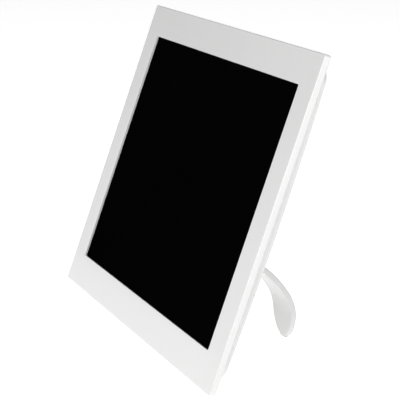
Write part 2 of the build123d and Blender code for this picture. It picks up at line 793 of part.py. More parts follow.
# the tip is where the middle of the leg's thickness, running straight on from the bend, meets the floor
tip_angle = radians(leg_sweep_angle + leg_bend_angle)
middle_radius = leg_bend_radius - leg_thickness / 2
middle_depth = bend_centre_depth + middle_radius * sin(tip_angle)
middle_height = bend_centre_height + middle_radius * cos(tip_angle)
bend_drop = face_z + middle_height * cos(radians(lean)) - middle_depth * sin(radians(lean))
tip_run = bend_drop / sin(tip_angle + radians(lean))
tip_depth = middle_depth + tip_run * cos(tip_angle)
floor_height = middle_height - tip_run * sin(tip_angle)
tip_height = floor_height + foot_reach / cos(radians(lean))
foot_y = face_y + reach_back(tip_depth, floor_height)
straight_end = tip_run + leg_thickness
with BuildPart() as stand_leg:
    with BuildSketch(section(hub_x)):
        with BuildLine():
            outer_sweep = JernArc((leg_start_depth, leg_top), (1, 0), leg_sweep_radius, -leg_sweep_angle)
            outer_bend = JernArc(outer_sweep @ 1, outer_sweep % 1, leg_bend_radius, -leg_bend_angle)
            outer_end = Line(outer_bend @ 1, outer_bend @ 1 + (outer_bend % 1) * straight_end)
            inner_start = (leg_start_depth, leg_top - leg_thickness)
            inner_sweep_radius = leg_sweep_radius - leg_thickness
            inner_bend_radius = leg_bend_radius - leg_thickness
            inner_sweep = JernArc(inner_start, (1, 0), inner_sweep_radius, -leg_sweep_angle)
            inner_bend = JernArc(inner_sweep @ 1, inner_sweep % 1, inner_bend_radius, -leg_bend_angle)
            inner_end = Line(inner_bend @ 1, inner_bend @ 1 + (inner_bend % 1) * straight_end)
            Line(outer_sweep @ 0, inner_sweep @ 0)
            Line(outer_end @ 1, inner_end @ 1)
        make_face()
    extrude(amount=leg_width / 2, both=True)
    # the tongue's rounded end
    with BuildSketch(layer(0)):
        with BuildLine():
            tip_middle = tip_height + leg_tip_length
            end = EllipticalCenterArc((hub_x, tip_middle), leg_width / 2, leg_tip_length, 180, arc_size=180)
            Polyline(
                end @ 1,
                (hub_x + leg_width / 2, frame_height),
                (hub_x - leg_width / 2, frame_height),
                end @ 0,
            )
        make_face()
    extrude(amount=-frame_height, mode=Mode.INTERSECT)
    # the root starts on the hub, and a narrower tenon goes down into the hub's socket
    with BuildSketch(layer(0)):
        with Locations((hub_x, hub_y)):
            Rectangle(frame_width, frame_height)
    extrude(amount=-hub_back, mode=Mode.SUBTRACT)
    fillet(stand_leg.edges().filter_by(GeomType.LINE, reverse=True), leg_edge_round)
    with BuildSketch(layer(socket_bottom)):
        with Locations((hub_x, root_height)):
            Rectangle(leg_width - 2 * leg_tenon_inset, leg_thickness)
    extrude(amount=socket_bottom - hub_back - 1)
    # slot in the tip for the rubber foot
    with BuildSketch(Plane.XY):
        with Locations((hub_x, foot_y)):
            Rectangle(foot_width, foot_thickness)
    extrude(amount=foot_height, mode=Mode.SUBTRACT)
finish(stand_leg.part, "stand_leg")

with BuildPart() as stand_foot:
    with BuildSketch(Plane.XY):
        with Locations((hub_x, foot_y)):
            Rectangle(foot_width, foot_thickness)
    extrude(amount=foot_height)
finish(stand_foot.part, "stand_foot")

with BuildPart() as stand_spring_washer:
    with BuildSketch(layer(stem_end + 0.1)):
        with Locations((hub_x, hub_y)):
            Circle(washer_radius)
            Circle(stem_radius + joint_gap, mode=Mode.SUBTRACT)
    extrude(amount=-spring_depth)
finish(stand_spring_washer.part, "stand_spring_washer")

with BuildPart() as stand_retainer:
    with BuildSketch(layer(stem_end - retainer_depth)):
        with Locations((hub_x, hub_y)):
            Circle(washer_radius)
            Circle(screw_radius, mode=Mode.SUBTRACT)
    extrude(amount=-retainer_depth)
finish(stand_retainer.part, "stand_retainer")
stand_screw_head = stem_end - retainer_depth - screw_head_depth
screws("stand_screw", [(hub_x, hub_y)], stand_screw_head, retainer_depth + 2.8, False)
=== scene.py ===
"""Looks of the digital photo frame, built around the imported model.

Lengths are in metres, in the model's own frame. Flat pieces are drawn in face coordinates: x across
the frame, y up it from its bottom edge, and depth behind the front of its bezel.
"""
import json
import math
import random

import bmesh
import bpy
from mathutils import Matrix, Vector


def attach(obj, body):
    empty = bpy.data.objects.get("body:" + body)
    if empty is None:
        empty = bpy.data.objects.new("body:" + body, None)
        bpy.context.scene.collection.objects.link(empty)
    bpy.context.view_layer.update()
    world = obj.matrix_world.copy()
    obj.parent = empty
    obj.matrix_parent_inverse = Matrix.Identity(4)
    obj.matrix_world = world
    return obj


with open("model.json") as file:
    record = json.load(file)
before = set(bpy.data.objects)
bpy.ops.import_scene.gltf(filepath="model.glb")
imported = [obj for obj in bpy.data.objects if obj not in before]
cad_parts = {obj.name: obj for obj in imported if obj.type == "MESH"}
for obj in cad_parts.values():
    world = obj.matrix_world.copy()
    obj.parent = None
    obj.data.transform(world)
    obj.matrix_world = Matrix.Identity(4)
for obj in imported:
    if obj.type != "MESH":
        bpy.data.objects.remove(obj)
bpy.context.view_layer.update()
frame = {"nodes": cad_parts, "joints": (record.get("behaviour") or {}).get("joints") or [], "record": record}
nodes = frame["nodes"]
joints = {joint["name"]: joint for joint in frame["joints"]}

mm = 0.001
full_turn = 2 * math.pi

# ---------------------------------------------------------------- face coordinates
forward = Vector(joints["stand_swivel"]["axis"]).normalized()
backward = -forward
across = Vector((1, 0, 0))
up_face = forward.cross(across)
lean = math.asin(forward.z)
bezel_points = [vertex.co for vertex in nodes["front_bezel"].data.vertices]
face_origin = (
    forward * max(point.dot(forward) for point in bezel_points)
    + up_face * min(point.dot(up_face) for point in bezel_points)
)


def on_face(x, y, depth):
    """The point at these face coordinates."""
    return face_origin + across * x + up_face * y + backward * depth


class Area:
    """A block of space in face coordinates."""

    def __init__(self, left, right, bottom, top, front, back):
        self.left, self.right = left, right
        self.bottom, self.top = bottom, top
        self.front, self.back = front, back
        self.x = (left + right) / 2
        self.y = (bottom + top) / 2


def area_of(node):
    """The space that a node takes up."""
    offsets = [vertex.co - face_origin for vertex in nodes[node].data.vertices]
    ends = []
    for direction in (across, up_face, backward):
        places = [offset.dot(direction) for offset in offsets]
        ends += [min(places), max(places)]
    return Area(*ends)


# ---------------------------------------------------------------- camera
camera_azimuth = math.radians(66.52)     # round the frame's right-hand side
camera_elevation = math.radians(14.19)
camera_distance = 0.958
camera_aim = Vector((0, 0.0045, 0.0818))
camera_lens = 135.0                      # lens and sensor in mm
camera_sensor = 36.0
camera_near = 0.05


def make_camera():
    """A long lens off to the frame's right, looking a little down on it."""
    away = Vector((
        math.sin(camera_azimuth) * math.cos(camera_elevation),
        -math.cos(camera_azimuth) * math.cos(camera_elevation),
        math.sin(camera_elevation),
    ))
    data = bpy.data.cameras.new("camera")
    data.lens = camera_lens
    data.sensor_width = camera_sensor
    data.clip_start = camera_near
    camera = bpy.data.objects.new("camera", data)
    camera.location = camera_aim + away * camera_distance
    camera.rotation_mode = "QUATERNION"
    camera.rotation_quaternion = (-away).to_track_quat("-Z", "Y")
    bpy.context.scene.collection.objects.link(camera)
    bpy.context.scene.camera = camera


# ---------------------------------------------------------------- studio
floor_reach = 2.0
floor_sides = 96
floor_grey = 0.6
floor_roughness = 0.95
floor_glow = 0.84
room_brightness = 0.1
horizon_brightness = 0.85
horizon_glow_top = 0.15                  # sine of the height where the glow ends
white_light = (1, 1, 1, 1)

stand_point = (0, 0, 0)
frame_middle = (0, 0, 0.1)
lights = (
    # name, place, the point it faces, side of its square and power in watts
    ("top_light", (0.2, 0.3, 1.9), stand_point, 2.2, 8),
    ("key_light", (1.30, -1.43, 0.82), frame_middle, 1.2, 14),
    ("side_light", (1.9, 0.5, 0.7), frame_middle, 1.2, 10),
    ("front_light", (0.1, -1.9, 0.9), frame_middle, 1.2, 10),
)


def area_light(name, place, aim, side, watts):
    """A soft square light that faces a point."""
    data = bpy.data.lights.new(name, "AREA")
    data.shape = "SQUARE"
    data.size = side
    data.energy = watts
    light = bpy.data.objects.new(name, data)
    light.location = place
    light.rotation_mode = "QUATERNION"
    light.rotation_quaternion = (Vector(aim) - Vector(place)).to_track_quat("-Z", "Y")
    bpy.context.scene.collection.objects.link(light)


def make_room():
    """An even dim room that brightens towards the horizon, as over a lit table."""
    world = bpy.data.worlds.new("studio")
    world.use_nodes = True
    tree = world.node_tree
    place = tree.nodes.new("ShaderNodeTexCoord")
    parts = tree.nodes.new("ShaderNodeSeparateXYZ")
    fall = tree.nodes.new("ShaderNodeMapRange")
    fall.inputs["From Max"].default_value = horizon_glow_top
    fall.inputs["To Min"].default_value = horizon_brightness
    fall.inputs["To Max"].default_value = room_brightness
    tree.links.new(place.outputs["Generated"], parts.inputs["Vector"])
    tree.links.new(parts.outputs["Z"], fall.inputs["Value"])
    tree.links.new(fall.outputs["Result"], tree.nodes["Background"].inputs["Strength"])
    tree.nodes["Background"].inputs["Color"].default_value = white_light
    bpy.context.scene.world = world
    bpy.context.scene.view_settings.view_transform = "Standard"


def make_floor():
    """A bright round table top."""
    bpy.ops.mesh.primitive_circle_add(vertices=floor_sides, radius=floor_reach, fill_type="NGON")
    floor = bpy.context.object
    floor.name = "studio_floor"
    paint = bpy.data.materials.new("studio_floor")
    paint.use_nodes = True
    shader = paint.node_tree.nodes["Principled BSDF"]
    shader.inputs["Base Color"].default_value = (floor_grey, floor_grey, floor_grey, 1)
    shader.inputs["Roughness"].default_value = floor_roughness
    shader.inputs["Specular IOR Level"].default_value = 0.0
    shader.inputs["Emission Color"].default_value = white_light
    shader.inputs["Emission Strength"].default_value = floor_glow
    floor.data.materials.append(paint)


make_camera()
make_room()
make_floor()
for light in lights:
    area_light(*light)


# ---------------------------------------------------------------- materials
# noise scales, in features per metre
plastic_mottle = 14.0
plastic_gloss = 60.0
metal_cloud = 300.0
board_breaks = 120.0
board_gloss = 400.0
clear_mottle = 40.0
clear_gloss = 90.0
clear_grain = 1500.0

fine_detail = 4.0
metal_grain_depth = 0.01 * mm
trace_height = 0.04 * mm
trace_rows = 160.0                       # brick texture scale of the traces
acrylic_ior = 1.49


def new_material(name):
    """A node material, with its node tree and its main shader."""
    material = bpy.data.materials.new(name)
    material.use_nodes = True
    tree = material.node_tree
    return material, tree, tree.nodes["Principled BSDF"]


def noise(tree, scale, detail=2.0, stretch=(1, 1, 1)):
    """Noise over the object's own coordinates. The scale is in features per metre."""
    place = tree.nodes.new("ShaderNodeTexCoord")
    mapping = tree.nodes.new("ShaderNodeMapping")
    mapping.inputs["Rotation"].default_value = (lean, 0, 0)
    mapping.inputs["Scale"].default_value = stretch
    texture = tree.nodes.new("ShaderNodeTexNoise")
    texture.inputs["Scale"].default_value = scale
    texture.inputs["Detail"].default_value = detail
    tree.links.new(place.outputs["Object"], mapping.inputs["Vector"])
    tree.links.new(mapping.outputs["Vector"], texture.inputs["Vector"])
    return texture.outputs["Fac"]


def spread(tree, value, low, high, start=0.0, end=1.0):
    """Maps a value from start..end onto low..high."""
    mapping = tree.nodes.new("ShaderNodeMapRange")
    mapping.inputs["From Min"].default_value = start
    mapping.inputs["From Max"].default_value = end
    mapping.inputs["To Min"].default_value = low
    mapping.inputs["To Max"].default_value = high
    tree.links.new(value, mapping.inputs["Value"])
    return mapping.outputs["Result"]


def tint(tree, value, dark, light):
    """Mixes two colours by a value from 0..1."""
    mix = tree.nodes.new("ShaderNodeMix")
    mix.data_type = "RGBA"
    tree.links.new(value, mix.inputs["Factor"])
    mix.inputs["A"].default_value = (*dark, 1)
    mix.inputs["B"].default_value = (*light, 1)
    return mix.outputs["Result"]


def bumps(tree, shader, height, strength, depth):
    """Raises the surface by a height value. The depth is in metres."""
    bump = tree.nodes.new("ShaderNodeBump")
    bump.inputs["Strength"].default_value = strength
    bump.inputs["Distance"].default_value = depth
    tree.links.new(height, bump.inputs["Height"])
    tree.links.new(bump.outputs["Normal"], shader.inputs["Normal"])


def shades(colour, change):
    """A darker and a lighter version of a colour."""
    return [max(0.0, c - change) for c in colour], [min(1.0, c + change) for c in colour]


def plastic(
    name, colour, roughness, grain, grain_depth=0.02 * mm, specular=0.5, mottle=0.015, coat=0.0,
):
    """Moulded plastic: slightly uneven colour, uneven gloss and a fine moulded grain."""
    material, tree, shader = new_material(name)
    dark, light = shades(colour, mottle)
    tree.links.new(tint(tree, noise(tree, plastic_mottle), dark, light), shader.inputs["Base Color"])
    cloud = noise(tree, plastic_gloss, fine_detail)
    gloss = spread(tree, cloud, roughness * 0.8, roughness * 1.25)
    tree.links.new(gloss, shader.inputs["Roughness"])
    shader.inputs["Specular IOR Level"].default_value = specular
    shader.inputs["Coat Weight"].default_value = coat
    shader.inputs["Coat Roughness"].default_value = 0.05
    bumps(tree, shader, noise(tree, grain), 0.25, grain_depth)
    return material


def metal(name, colour, roughness, grain=2500.0, stretch=(1, 1, 1)):
    """Sheet or turned metal with fine, uneven gloss. Stretching the grain makes it brushed."""
    material, tree, shader = new_material(name)
    cloud = noise(tree, metal_cloud, fine_detail)
    dark = [c * 0.88 for c in colour]
    tree.links.new(tint(tree, cloud, dark, colour), shader.inputs["Base Color"])
    tree.links.new(spread(tree, cloud, roughness * 0.7, roughness * 1.3), shader.inputs["Roughness"])
    shader.inputs["Metallic"].default_value = 1.0
    bumps(tree, shader, noise(tree, grain, stretch=stretch), 0.2, metal_grain_depth)
    return material


def board(name, mask, trace):
    """Solder mask over copper: lines of raised, lighter traces both ways, broken up by noise."""
    material, tree, shader = new_material(name)
    place = tree.nodes.new("ShaderNodeTexCoord")
    upright = tree.nodes.new("ShaderNodeMapping")
    upright.inputs["Rotation"].default_value = (lean, 0, 0)
    tree.links.new(place.outputs["Object"], upright.inputs["Vector"])
    bricks = tree.nodes.new("ShaderNodeTexBrick")
    bricks.offset_frequency = 3
    bricks.inputs["Scale"].default_value = trace_rows
    bricks.inputs["Mortar Size"].default_value = 0.03
    bricks.inputs["Brick Width"].default_value = 1.7
    bricks.inputs["Row Height"].default_value = 0.25
    laid_flat = tree.nodes.new("ShaderNodeMapping")
    laid_flat.inputs["Rotation"].default_value = (math.pi / 2, 0, 0)
    tree.links.new(upright.outputs["Vector"], laid_flat.inputs["Vector"])
    tree.links.new(laid_flat.outputs["Vector"], bricks.inputs["Vector"])
    gaps = spread(tree, noise(tree, board_breaks, 1.0), 0.0, 1.0, 0.42, 0.5)
    lines = tree.nodes.new("ShaderNodeMath")
    lines.operation = "MULTIPLY"
    tree.links.new(bricks.outputs["Fac"], lines.inputs[0])
    tree.links.new(gaps, lines.inputs[1])
    tree.links.new(tint(tree, lines.outputs["Value"], mask, trace), shader.inputs["Base Color"])
    tree.links.new(spread(tree, noise(tree, board_gloss), 0.25, 0.4), shader.inputs["Roughness"])
    bumps(tree, shader, lines.outputs["Value"], 0.5, trace_height)
    return material


def clear(name, colour, roughness):
    """Polished clear plastic with faint haze."""
    material, tree, shader = new_material(name)
    dark, light = shades(colour, 0.02)
    tree.links.new(tint(tree, noise(tree, clear_mottle), dark, light), shader.inputs["Base Color"])
    gloss = spread(tree, noise(tree, clear_gloss), roughness, roughness * 2)
    tree.links.new(gloss, shader.inputs["Roughness"])
    shader.inputs["Transmission Weight"].default_value = 0.85
    shader.inputs["IOR"].default_value = acrylic_ior
    bumps(tree, shader, noise(tree, clear_grain), 0.1, 0.01 * mm)
    return material


white = (0.80, 0.80, 0.797)
finishes = {
    "white_gloss_shell": plastic("white_gloss_shell", white, 0.10, 500.0, mottle=0.008, coat=0.7),
    "white_rear_shell": plastic("white_rear_shell", white, 0.24, 2600.0, mottle=0.01),
    # the stand's plastic is set darker than the shell's white as painted shade for the leg's inner face,
    # which the glowing floor lights too evenly; it dims the leg's edge as well
    "white_stand": plastic("white_stand", (0.71, 0.71, 0.707), 0.14, 500.0, specular=0.1, mottle=0.008),
    "screen_glass": plastic(
        "screen_glass", (0.0012, 0.0012, 0.0014), 0.3, 3000.0, specular=0.0, mottle=0.0004,
    ),
    "panel_steel": metal("panel_steel", (0.60, 0.61, 0.62), 0.3, 1800.0, (1, 1, 20)),
    "white_moulding": plastic("white_moulding", (0.78, 0.78, 0.76), 0.5, 2600.0),
    "diffuser_film": plastic("diffuser_film", (0.86, 0.86, 0.85), 0.6, 4000.0),
    "clear_acrylic": clear("clear_acrylic", (0.92, 0.96, 0.96), 0.04),
    "reflector_film": plastic("reflector_film", (0.9, 0.9, 0.9), 0.35, 4000.0),
    "led_board": plastic("led_board", (0.74, 0.74, 0.69), 0.4, 2600.0),
    "led_package": plastic("led_package", (0.85, 0.80, 0.46), 0.35, 2600.0),
    "circuit_board": board("circuit_board", (0.012, 0.11, 0.04), (0.03, 0.21, 0.08)),
    "zinc_steel": metal("zinc_steel", (0.62, 0.62, 0.60), 0.35, 1800.0, (20, 1, 1)),
    "chip_black": plastic("chip_black", (0.018, 0.018, 0.02), 0.45, 4000.0, mottle=0.004),
    "capacitor_can": metal("capacitor_can", (0.74, 0.74, 0.76), 0.25, 2500.0, (1, 1, 10)),
    "ferrite": plastic("ferrite", (0.055, 0.055, 0.06), 0.6, 3000.0, mottle=0.015),
    "connector_black": plastic("connector_black", (0.02, 0.02, 0.02), 0.42, 2600.0, mottle=0.005),
    "connector_steel": metal("connector_steel", (0.66, 0.67, 0.68), 0.25),
    "connector_ivory": plastic("connector_ivory", (0.82, 0.77, 0.62), 0.45, 2600.0),
    "flex_film": plastic("flex_film", (0.46, 0.19, 0.025), 0.25, 3000.0, mottle=0.03),
    "ribbon_film": plastic("ribbon_film", (0.78, 0.78, 0.77), 0.4, 3000.0),
    "switch_black": plastic("switch_black", (0.028, 0.028, 0.028), 0.5, 2600.0, mottle=0.006),
    "plunger_nylon": plastic("plunger_nylon", (0.03, 0.03, 0.03), 0.4, 2600.0, mottle=0.006),
    "key_grey": plastic("key_grey", (0.50, 0.51, 0.52), 0.38, 3200.0, mottle=0.02),
    "speaker_steel": plastic("speaker_steel", (0.04, 0.04, 0.04), 0.35, 1500.0, mottle=0.01),
    "speaker_paper": plastic("speaker_paper", (0.028, 0.027, 0.025), 0.85, 1600.0, 0.08 * mm, 0.3, 0.01),
    "wire_sleeve": plastic("wire_sleeve", (0.42, 0.02, 0.02), 0.4, 2600.0, mottle=0.02),
    "screw_steel": metal("screw_steel", (0.56, 0.56, 0.55), 0.3),
    "spring_steel": metal("spring_steel", (0.5, 0.5, 0.51), 0.22, 2000.0, (12, 1, 1)),
    "contact_gold": metal("contact_gold", (0.83, 0.62, 0.27), 0.25),
    "contact_tin": metal("contact_tin", (0.72, 0.72, 0.70), 0.35),
    "foot_rubber": plastic("foot_rubber", (0.62, 0.62, 0.61), 0.6, 2600.0, mottle=0.02),
}
for subpart in frame["record"]["subparts"]:
    node = nodes[subpart["node"]]
    node.data.materials.clear()
    node.data.materials.append(finishes[subpart["material_slot"]])


# ---------------------------------------------------------------- making pieces
rounding_segments = 2


class Shape:
    """A mesh built up from solids drawn in face coordinates."""

    def __init__(self):
        self.mesh = bmesh.new()

    def loop(self, outline, depth):
        """New points along an outline at one depth."""
        return [self.mesh.verts.new(on_face(x, y, depth)) for x, y in outline]

    def walls(self, near, far):
        """Faces between two loops of the same length."""
        for i in range(len(near)):
            self.mesh.faces.new((near[i - 1], near[i], far[i], far[i - 1]))

    def prism(self, outline, front, back):
        """A solid with this outline, from one depth to another."""
        near = self.loop(outline, front)
        far = self.loop(outline, back)
        self.mesh.faces.new(near)
        self.mesh.faces.new(far)
        self.walls(near, far)

    def ring(self, loops):
        """A closed ring through loops of the same length, the last joined to the first."""
        for near, far in zip(loops, loops[1:] + loops[:1]):
            self.walls(near, far)

    def band(self, outer, inner, front, back):
        """A solid between two outlines with the same number of points."""
        self.ring([self.loop(outer, front), self.loop(outer, back),
                   self.loop(inner, back), self.loop(inner, front)])

    def dome(self, x, y, rings, sides):
        """A solid turned about the line through (x, y). Each ring is a (radius, depth)."""
        loops = [self.loop(circle(x, y, radius, sides), depth) for radius, depth in rings]
        for near, far in zip(loops, loops[1:]):
            self.walls(near, far)
        self.mesh.faces.new(loops[0])
        self.mesh.faces.new(loops[-1])

    def strip(self, start, outward, profile, width, thickness):
        """Flat stock bent along a profile of (distance outward, depth), from a start point."""
        edges = []
        for shift in (-width / 2, width / 2):
            for lift, points in ((0, profile), (-thickness, profile[::-1])):
                for distance, depth in points:
                    x = start[0] + outward[0] * distance - outward[1] * shift
                    y = start[1] + outward[1] * distance + outward[0] * shift
                    edges.append(self.mesh.verts.new(on_face(x, y, depth + lift)))
        length = 2 * len(profile)
        near, far = edges[:length], edges[length:]
        for i in range(len(profile) - 1):
            corners = (i, i + 1, length - i - 2, length - i - 1)
            self.mesh.faces.new([near[k] for k in corners])
            self.mesh.faces.new([far[k] for k in corners])
        self.walls(near, far)

    def piece(self, name, slot, body="frame_body", rounding=0.0, finish=None):
        """The finished piece, with rounded edges, its finish and the body that it rides on."""
        bmesh.ops.recalc_face_normals(self.mesh, faces=self.mesh.faces)
        data = bpy.data.meshes.new(name)
        self.mesh.to_mesh(data)
        self.mesh.free()
        data.materials.append(finishes[finish or slot])
        made = bpy.data.objects.new(name, data)
        bpy.context.scene.collection.objects.link(made)
        if rounding:
            bevel = made.modifiers.new("rounding", "BEVEL")
            bevel.width = rounding
            bevel.segments = rounding_segments
            bevel.limit_method = "ANGLE"
        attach(made, body)


def rectangle(x, y, width, height):
    """The corners of a rectangle about its middle."""
    return [
        (x - width / 2, y - height / 2), (x + width / 2, y - height / 2),
        (x + width / 2, y + height / 2), (x - width / 2, y + height / 2),
    ]


def arc(x, y, radius, start, end, count):
    """Points along an arc, in turns from the +x direction."""
    turns = [start + (end - start) * i / (count - 1) for i in range(count)]
    return [
        (x + radius * math.cos(turn * full_turn), y + radius * math.sin(turn * full_turn))
        for turn in turns
    ]


def circle(x, y, radius, count):
    """Evenly spaced points round a circle."""
    return arc(x, y, radius, 0, 1 - 1 / count, count)


def arc_stroke(x, y, radius, width, start, end, count):
    """The outline of a thick arc."""
    outer = arc(x, y, radius + width / 2, start, end, count)
    inner = arc(x, y, radius - width / 2, end, start, count)
    return outer + inner


# ---------------------------------------------------------------- pictograms on the keys
icon_rise = 0.12 * mm
icon_sink = 0.05 * mm
icon_size = 1.8 * mm
icon_line = 0.42 * mm
icon_sides = 28
icon_row = icon_size * 0.65              # from the middle to the menu's outer bars
arrow_size = icon_size * 0.8


class Relief:
    """Raised pictograms, drawn in one shape on the back of a key."""

    def __init__(self, surface):
        self.shape = Shape()
        self.front = surface - icon_sink
        self.back = surface + icon_rise

    def fill(self, outline):
        """A filled area."""
        self.shape.prism(outline, self.front, self.back)

    def ring(self, x, y, radius):
        """A round line whose outer radius is given."""
        outer = circle(x, y, radius, icon_sides)
        inner = circle(x, y, radius - icon_line, icon_sides)
        self.shape.band(outer, inner, self.front, self.back)

    def arrow(self, x, y, side, size):
        """A solid triangle that points across the frame."""
        tail = x - side * size * 0.7
        self.fill([(x + side * size, y), (tail, y + size), (tail, y - size)])


def power_icon(relief, x, y):
    """An open ring with a bar at its top."""
    relief.fill(arc_stroke(x, y, icon_size * 0.8, icon_line, 0.37, 1.13, icon_sides))
    relief.fill(rectangle(x, y + icon_row, icon_line, icon_size))


def menu_icon(relief, x, y):
    """Three bars."""
    for row in (-1, 0, 1):
        relief.fill(rectangle(x, y + row * icon_row, icon_size * 1.9, icon_line))


def previous_icon(relief, x, y):
    """An arrow towards the frame's left."""
    relief.arrow(x, y, -1, arrow_size)


def next_icon(relief, x, y):
    """An arrow towards the frame's right."""
    relief.arrow(x, y, 1, arrow_size)


def select_icon(relief, x, y):
    """A ring round a dot."""
    relief.ring(x, y, icon_size * 0.95)
    relief.fill(circle(x, y, icon_size * 0.35, icon_sides))


def back_icon(relief, x, y):
    """An arrow that turns back on itself."""
    bend = icon_size * 0.55
    relief.fill(arc_stroke(x + bend * 0.8, y, bend, icon_line, -0.25, 0.25, icon_sides))
    relief.fill(rectangle(x, y - bend, bend * 1.6, icon_line))
    relief.fill(rectangle(x + bend * 0.2, y + bend, bend * 1.2, icon_line))
    relief.arrow(x - bend, y + bend, -1, icon_size * 0.45)


def make_key_icons():
    """A raised pictogram on each key, which travels with it."""
    icons = {
        "power": power_icon, "menu": menu_icon, "previous": previous_icon,
        "next": next_icon, "select": select_icon, "back": back_icon,
    }
    for name, icon in icons.items():
        cap = area_of(f"key_{name}")
        relief = Relief(cap.back)
        icon(relief, cap.x, cap.y)
        relief.shape.piece(f"key_icon_{name}", "connector_black", f"key_{name}_body")


# ---------------------------------------------------------------- screen
active_width = 211.2 * mm                # picture area of the display
active_height = 158.4 * mm
border_width = 2.0 * mm
border_film = 0.05 * mm


def make_screen_border():
    """The printed black border around the picture area, on the front of the glass."""
    glass = area_of("lcd_glass")
    width = active_width + 2 * border_width
    height = active_height + 2 * border_width
    border = Shape()
    border.band(
        rectangle(glass.x, glass.y, width, height),
        rectangle(glass.x, glass.y, active_width, active_height),
        glass.front - border_film, glass.front,
    )
    border.piece("screen_border", "screen_glass")


# ---------------------------------------------------------------- sockets
contact_thickness = 0.2 * mm
lug_width = 1.5 * mm
lug_reach = 1.5 * mm
lug_bend = 0.2 * mm
jack_spring = (7.0 * mm, 1.8 * mm)       # length and width
jack_spring_inset = 5.5 * mm             # from the jack's mouth to the middle of its spring
jack_bore_side = 0.35 * mm               # from the board to the spring
usb_contacts = 5
usb_contact = (5.5 * mm, 0.4 * mm)
usb_contact_pitch = 0.8 * mm
usb_contact_rise = 0.08 * mm
usb_tongue = 0.45 * mm                   # from the socket's middle to its tongue's contact side
card_fingers = 9
card_finger_pitch = 2.5 * mm
card_finger_width = 1.2 * mm
card_finger_thickness = 0.15 * mm
card_finger_inset = 4.0 * mm
card_finger_lift = 0.6 * mm              # from the socket's floor


def make_lugs(name, socket, surface, places, rise):
    """Solder lugs on both sides of a socket, bent out onto the board."""
    lugs = Shape()
    flat = surface + contact_thickness
    profile = [
        (0, surface + rise), (lug_bend, surface + rise), (2 * lug_bend, flat), (lug_reach, flat),
    ]
    for along in places:
        x = socket.left + (socket.right - socket.left) * along
        lugs.strip((x, socket.top), (0, 1), profile, lug_width, contact_thickness)
        lugs.strip((x, socket.bottom), (0, -1), profile, lug_width, contact_thickness)
    lugs.piece(name, "connector_steel", finish="contact_tin")


def make_jack_spring(jack, surface):
    """The contact spring along the side of the power inlet's bore."""
    spring = Shape()
    near = surface + jack_bore_side
    outline = rectangle(jack.left + jack_spring_inset, jack.y, *jack_spring)
    spring.prism(outline, near, near + contact_thickness)
    spring.piece("dc_jack_spring", "spring_steel")


def make_usb_contacts(usb):
    """The flat contacts on the tongue of the USB socket."""
    contacts = Shape()
    tongue = (usb.front + usb.back) / 2 - usb_tongue
    for i in range(usb_contacts):
        y = usb.y + (i - (usb_contacts - 1) / 2) * usb_contact_pitch
        contacts.prism(rectangle(usb.x, y, *usb_contact), tongue - usb_contact_rise, tongue)
    contacts.piece("usb_contacts", "connector_steel", finish="contact_gold")


def make_card_fingers(card):
    """The sprung fingers in the card socket."""
    fingers = Shape()
    low = card.front + card_finger_lift
    profile = [(0, low), (3 * mm, low), (5 * mm, low + 0.9 * mm), (7 * mm, low + 0.5 * mm)]
    for i in range(card_fingers):
        y = card.y + (i - (card_fingers - 1) / 2) * card_finger_pitch
        start = (card.right - card_finger_inset, y)
        fingers.strip(start, (-1, 0), profile, card_finger_width, card_finger_thickness)
    fingers.piece("card_socket_fingers", "connector_steel", finish="contact_gold")


def make_sockets():
    """Contacts inside the power, USB and card sockets, and the lugs that solder them down."""
    surface = area_of("main_board").back
    jack = area_of("dc_jack")
    usb = area_of("usb_socket")
    card = area_of("card_socket")
    make_lugs("dc_jack_lugs", jack, surface, (0.3, 0.85), 1.0 * mm)
    make_lugs("usb_shell_lugs", usb, surface, (0.3, 0.75), 1.2 * mm)
    make_lugs("card_shell_lugs", card, surface, (0.15, 0.5, 0.9), 0.9 * mm)
    make_jack_spring(jack, surface)
    make_usb_contacts(usb)
    make_card_fingers(card)


# ---------------------------------------------------------------- boards
random_places = random.Random(12)
left_and_right = ((1, 0), (-1, 0))
above_and_below = ((0, 1), (0, -1))
lead_pitch = 1.27 * mm
lead_width = 0.5 * mm
lead_thickness = 0.15 * mm
lead_bend = 0.35 * mm
lead_foot = 0.6 * mm
lead_reach = 1.2 * mm
processor_margin = 1.6 * mm              # from a package's corner to its first lead
memory_margin = 0.9 * mm
memory_chip_height = 8.0 * mm
dot_radius = 0.5 * mm
dot_inset = 1.4 * mm
dot_rise = 0.04 * mm
dot_sides = 20
sink_size = 15.0 * mm
sink_base = 0.8 * mm
sink_fins = 6
sink_fin_pitch = 2.6 * mm
sink_fin = (0.9 * mm, 14.6 * mm)         # thickness and length
sink_fin_height = 2.2 * mm
small_part = (1.7 * mm, 0.85 * mm, 0.55 * mm)        # length, width and height
small_part_end = 0.35 * mm
small_part_step = 0.05 * mm              # from its ends down to its body
small_part_tries = 500
small_part_spacing = 3.0 * mm
board_edge = 8.0 * mm
driver_chips = 3
driver_chip = (10.0 * mm, 4.4 * mm)
driver_chip_rise = 1.0 * mm
driver_chip_first = -14.0 * mm           # from the board's middle
driver_chip_pitch = 28.0 * mm
driver_chip_margin = 0.6 * mm
driver_parts = 12
driver_part_pitch = 6.2 * mm
driver_part_start = 6.0 * mm
driver_part_inset = 2.2 * mm


def chip_leads(shape, chip, sides, margin):
    """A row of gull-wing leads along each side of a chip, down to the board in front of it."""
    flat = chip.front + lead_thickness
    rise = chip.front + 0.6 * (chip.back - chip.front)
    profile = [(0, rise), (lead_bend, rise), (lead_foot, flat), (lead_reach, flat)]
    half_width = (chip.right - chip.left) / 2
    half_height = (chip.top - chip.bottom) / 2
    for side_x, side_y in sides:
        length = 2 * (half_height if side_x else half_width) - 2 * margin
        count = int(length / lead_pitch) + 1
        for i in range(count):
            shift = (i - (count - 1) / 2) * lead_pitch
            start = (
                chip.x + side_x * half_width + abs(side_y) * shift,
                chip.y + side_y * half_height + abs(side_x) * shift,
            )
            shape.strip(start, (side_x, side_y), profile, lead_width, lead_thickness)


